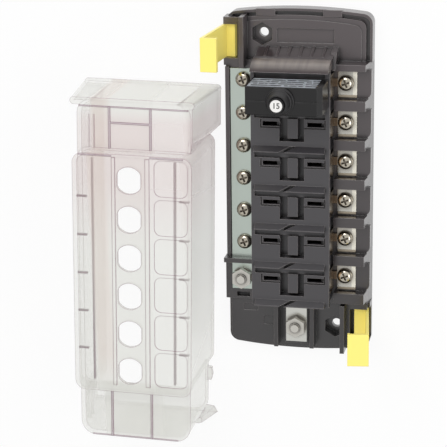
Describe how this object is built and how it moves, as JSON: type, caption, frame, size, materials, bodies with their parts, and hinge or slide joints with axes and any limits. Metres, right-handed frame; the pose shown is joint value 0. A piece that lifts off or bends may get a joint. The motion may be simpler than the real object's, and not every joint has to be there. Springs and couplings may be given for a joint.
{
  "type": "circuit breaker block",
  "caption": "Low-voltage breaker block with plug-in sockets, a negative bus, screw terminals, swing latches and a clear cover lying beside it.",
  "frame": {"origin": "centre of the base's flat back face", "axes": "+Y along the base from the positive stud's end to the shroud's end, +X from the negative bus to the output terminals, +Z out of the back face towards the breakers"},
  "size_m": [0.1829, 0.2584, 0.073],
  "materials": {
    "housing": "satin",
    "socket": "satin",
    "latch": "satin",
    "plated_bar": "tin plated",
    "bright_steel": "nickel plated",
    "inner_metal": "plain",
    "breaker_case": "fine texture",
    "breaker_rubber": "matte",
    "breaker_button": "gloss",
    "button_face": "matte",
    "label_film": "satin",
    "clear_cover": "clear gloss"
  },
  "bodies": {
    "base": {"base_housing": "housing", "socket_block": "socket", "negative_bus_bar": "plated_bar", "negative_bus_screws": "bright_steel", "feed_bar": "plated_bar", "output_terminal_1": "plated_bar", "output_terminal_2": "plated_bar", "output_terminal_3": "plated_bar", "output_terminal_4": "plated_bar", "output_terminal_5": "plated_bar", "output_terminal_6": "plated_bar", "output_screws": "bright_steel", "contact_clips": "plated_bar", "terminal_studs": "bright_steel", "stud_washers": "bright_steel", "stud_nuts": "bright_steel", "latch_pins": "bright_steel"},
    "breaker": {"breaker_case_upper": "breaker_case", "breaker_case_lower": "breaker_case", "breaker_line_blade": "plated_bar", "breaker_load_blade": "plated_bar", "breaker_bimetal": "inner_metal", "breaker_contact_arm": "inner_metal", "breaker_rivets": "inner_metal", "breaker_collar": "breaker_rubber", "breaker_spring": "inner_metal", "breaker_label": "label_film"},
    "button": {"breaker_button": "breaker_button", "breaker_button_disc": "button_face"},
    "upper_latch": {"latch_top": "latch"},
    "lower_latch": {"latch_bottom": "latch"},
    "clear_cover": {"cover": "clear_cover"}
  },
  "joints": [
    {"name": "breaker_pull", "type": "slide", "parent": "base", "child": "breaker", "axis": [0, 0, 1], "range_m": [0, 0.045]},
    {"name": "button_trip", "type": "slide", "parent": "breaker", "child": "button", "axis": [0, 0, 1], "range_m": [0, 0.0035]},
    {"name": "upper_latch_hinge", "type": "hinge", "parent": "base", "child": "upper_latch", "pos_m": [-0.0406, 0.0846, 0.008], "axis": [0, -1, 0], "range_deg": [-5, 65]},
    {"name": "lower_latch_hinge", "type": "hinge", "parent": "base", "child": "lower_latch", "pos_m": [0.0382, -0.086, 0.008], "axis": [0, 1, 0], "range_deg": [-5, 65]},
    {"name": "cover_lift", "type": "slide", "parent": "base", "child": "clear_cover", "axis": [0, 0, 1], "range_m": [0, 0.08]}
  ]
}
